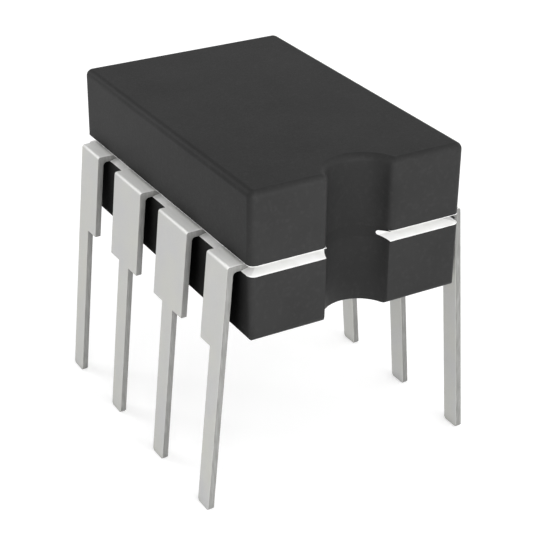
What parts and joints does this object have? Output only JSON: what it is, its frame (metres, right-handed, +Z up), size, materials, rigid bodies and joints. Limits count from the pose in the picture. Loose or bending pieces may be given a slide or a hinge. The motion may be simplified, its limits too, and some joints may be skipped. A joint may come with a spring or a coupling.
{
  "type": "ceramic dual in-line integrated circuit package",
  "caption": "Small dark ceramic integrated circuit package with a pale glass seal line, an end notch and two rows of flat bent tin-plated leads.",
  "frame": {"origin": "centre of the package's footprint, at the level of the lead tips", "axes": "+Z up through the cap's top face, +Y along the lead rows with the index notch at the -Y end, +X across the rows towards leads 1 to 4"},
  "size_m": [0.0078, 0.009, 0.0087],
  "materials": {
    "ceramic": "matte dark pressed alumina",
    "seal_glass": "pale fired seal glass",
    "lead": "matte tin plate on nickel-iron alloy",
    "gold": "thick-film gold",
    "die_attach": "silver-filled glass",
    "silicon": "polished silicon",
    "bond_wire": "drawn aluminium wire"
  },
  "bodies": {
    "root": {"ceramic_base": "ceramic", "ceramic_cap": "ceramic", "seal_glass": "seal_glass", "lead_1": "lead", "lead_2": "lead", "lead_3": "lead", "lead_4": "lead", "lead_5": "lead", "lead_6": "lead", "lead_7": "lead", "lead_8": "lead", "die_pad": "gold", "die_attach": "die_attach", "silicon_die": "silicon", "bond_wire_1": "bond_wire", "bond_wire_2": "bond_wire", "bond_wire_3": "bond_wire", "bond_wire_4": "bond_wire", "bond_wire_5": "bond_wire", "bond_wire_6": "bond_wire", "bond_wire_7": "bond_wire", "bond_wire_8": "bond_wire"}
  },
  "joints": []
}
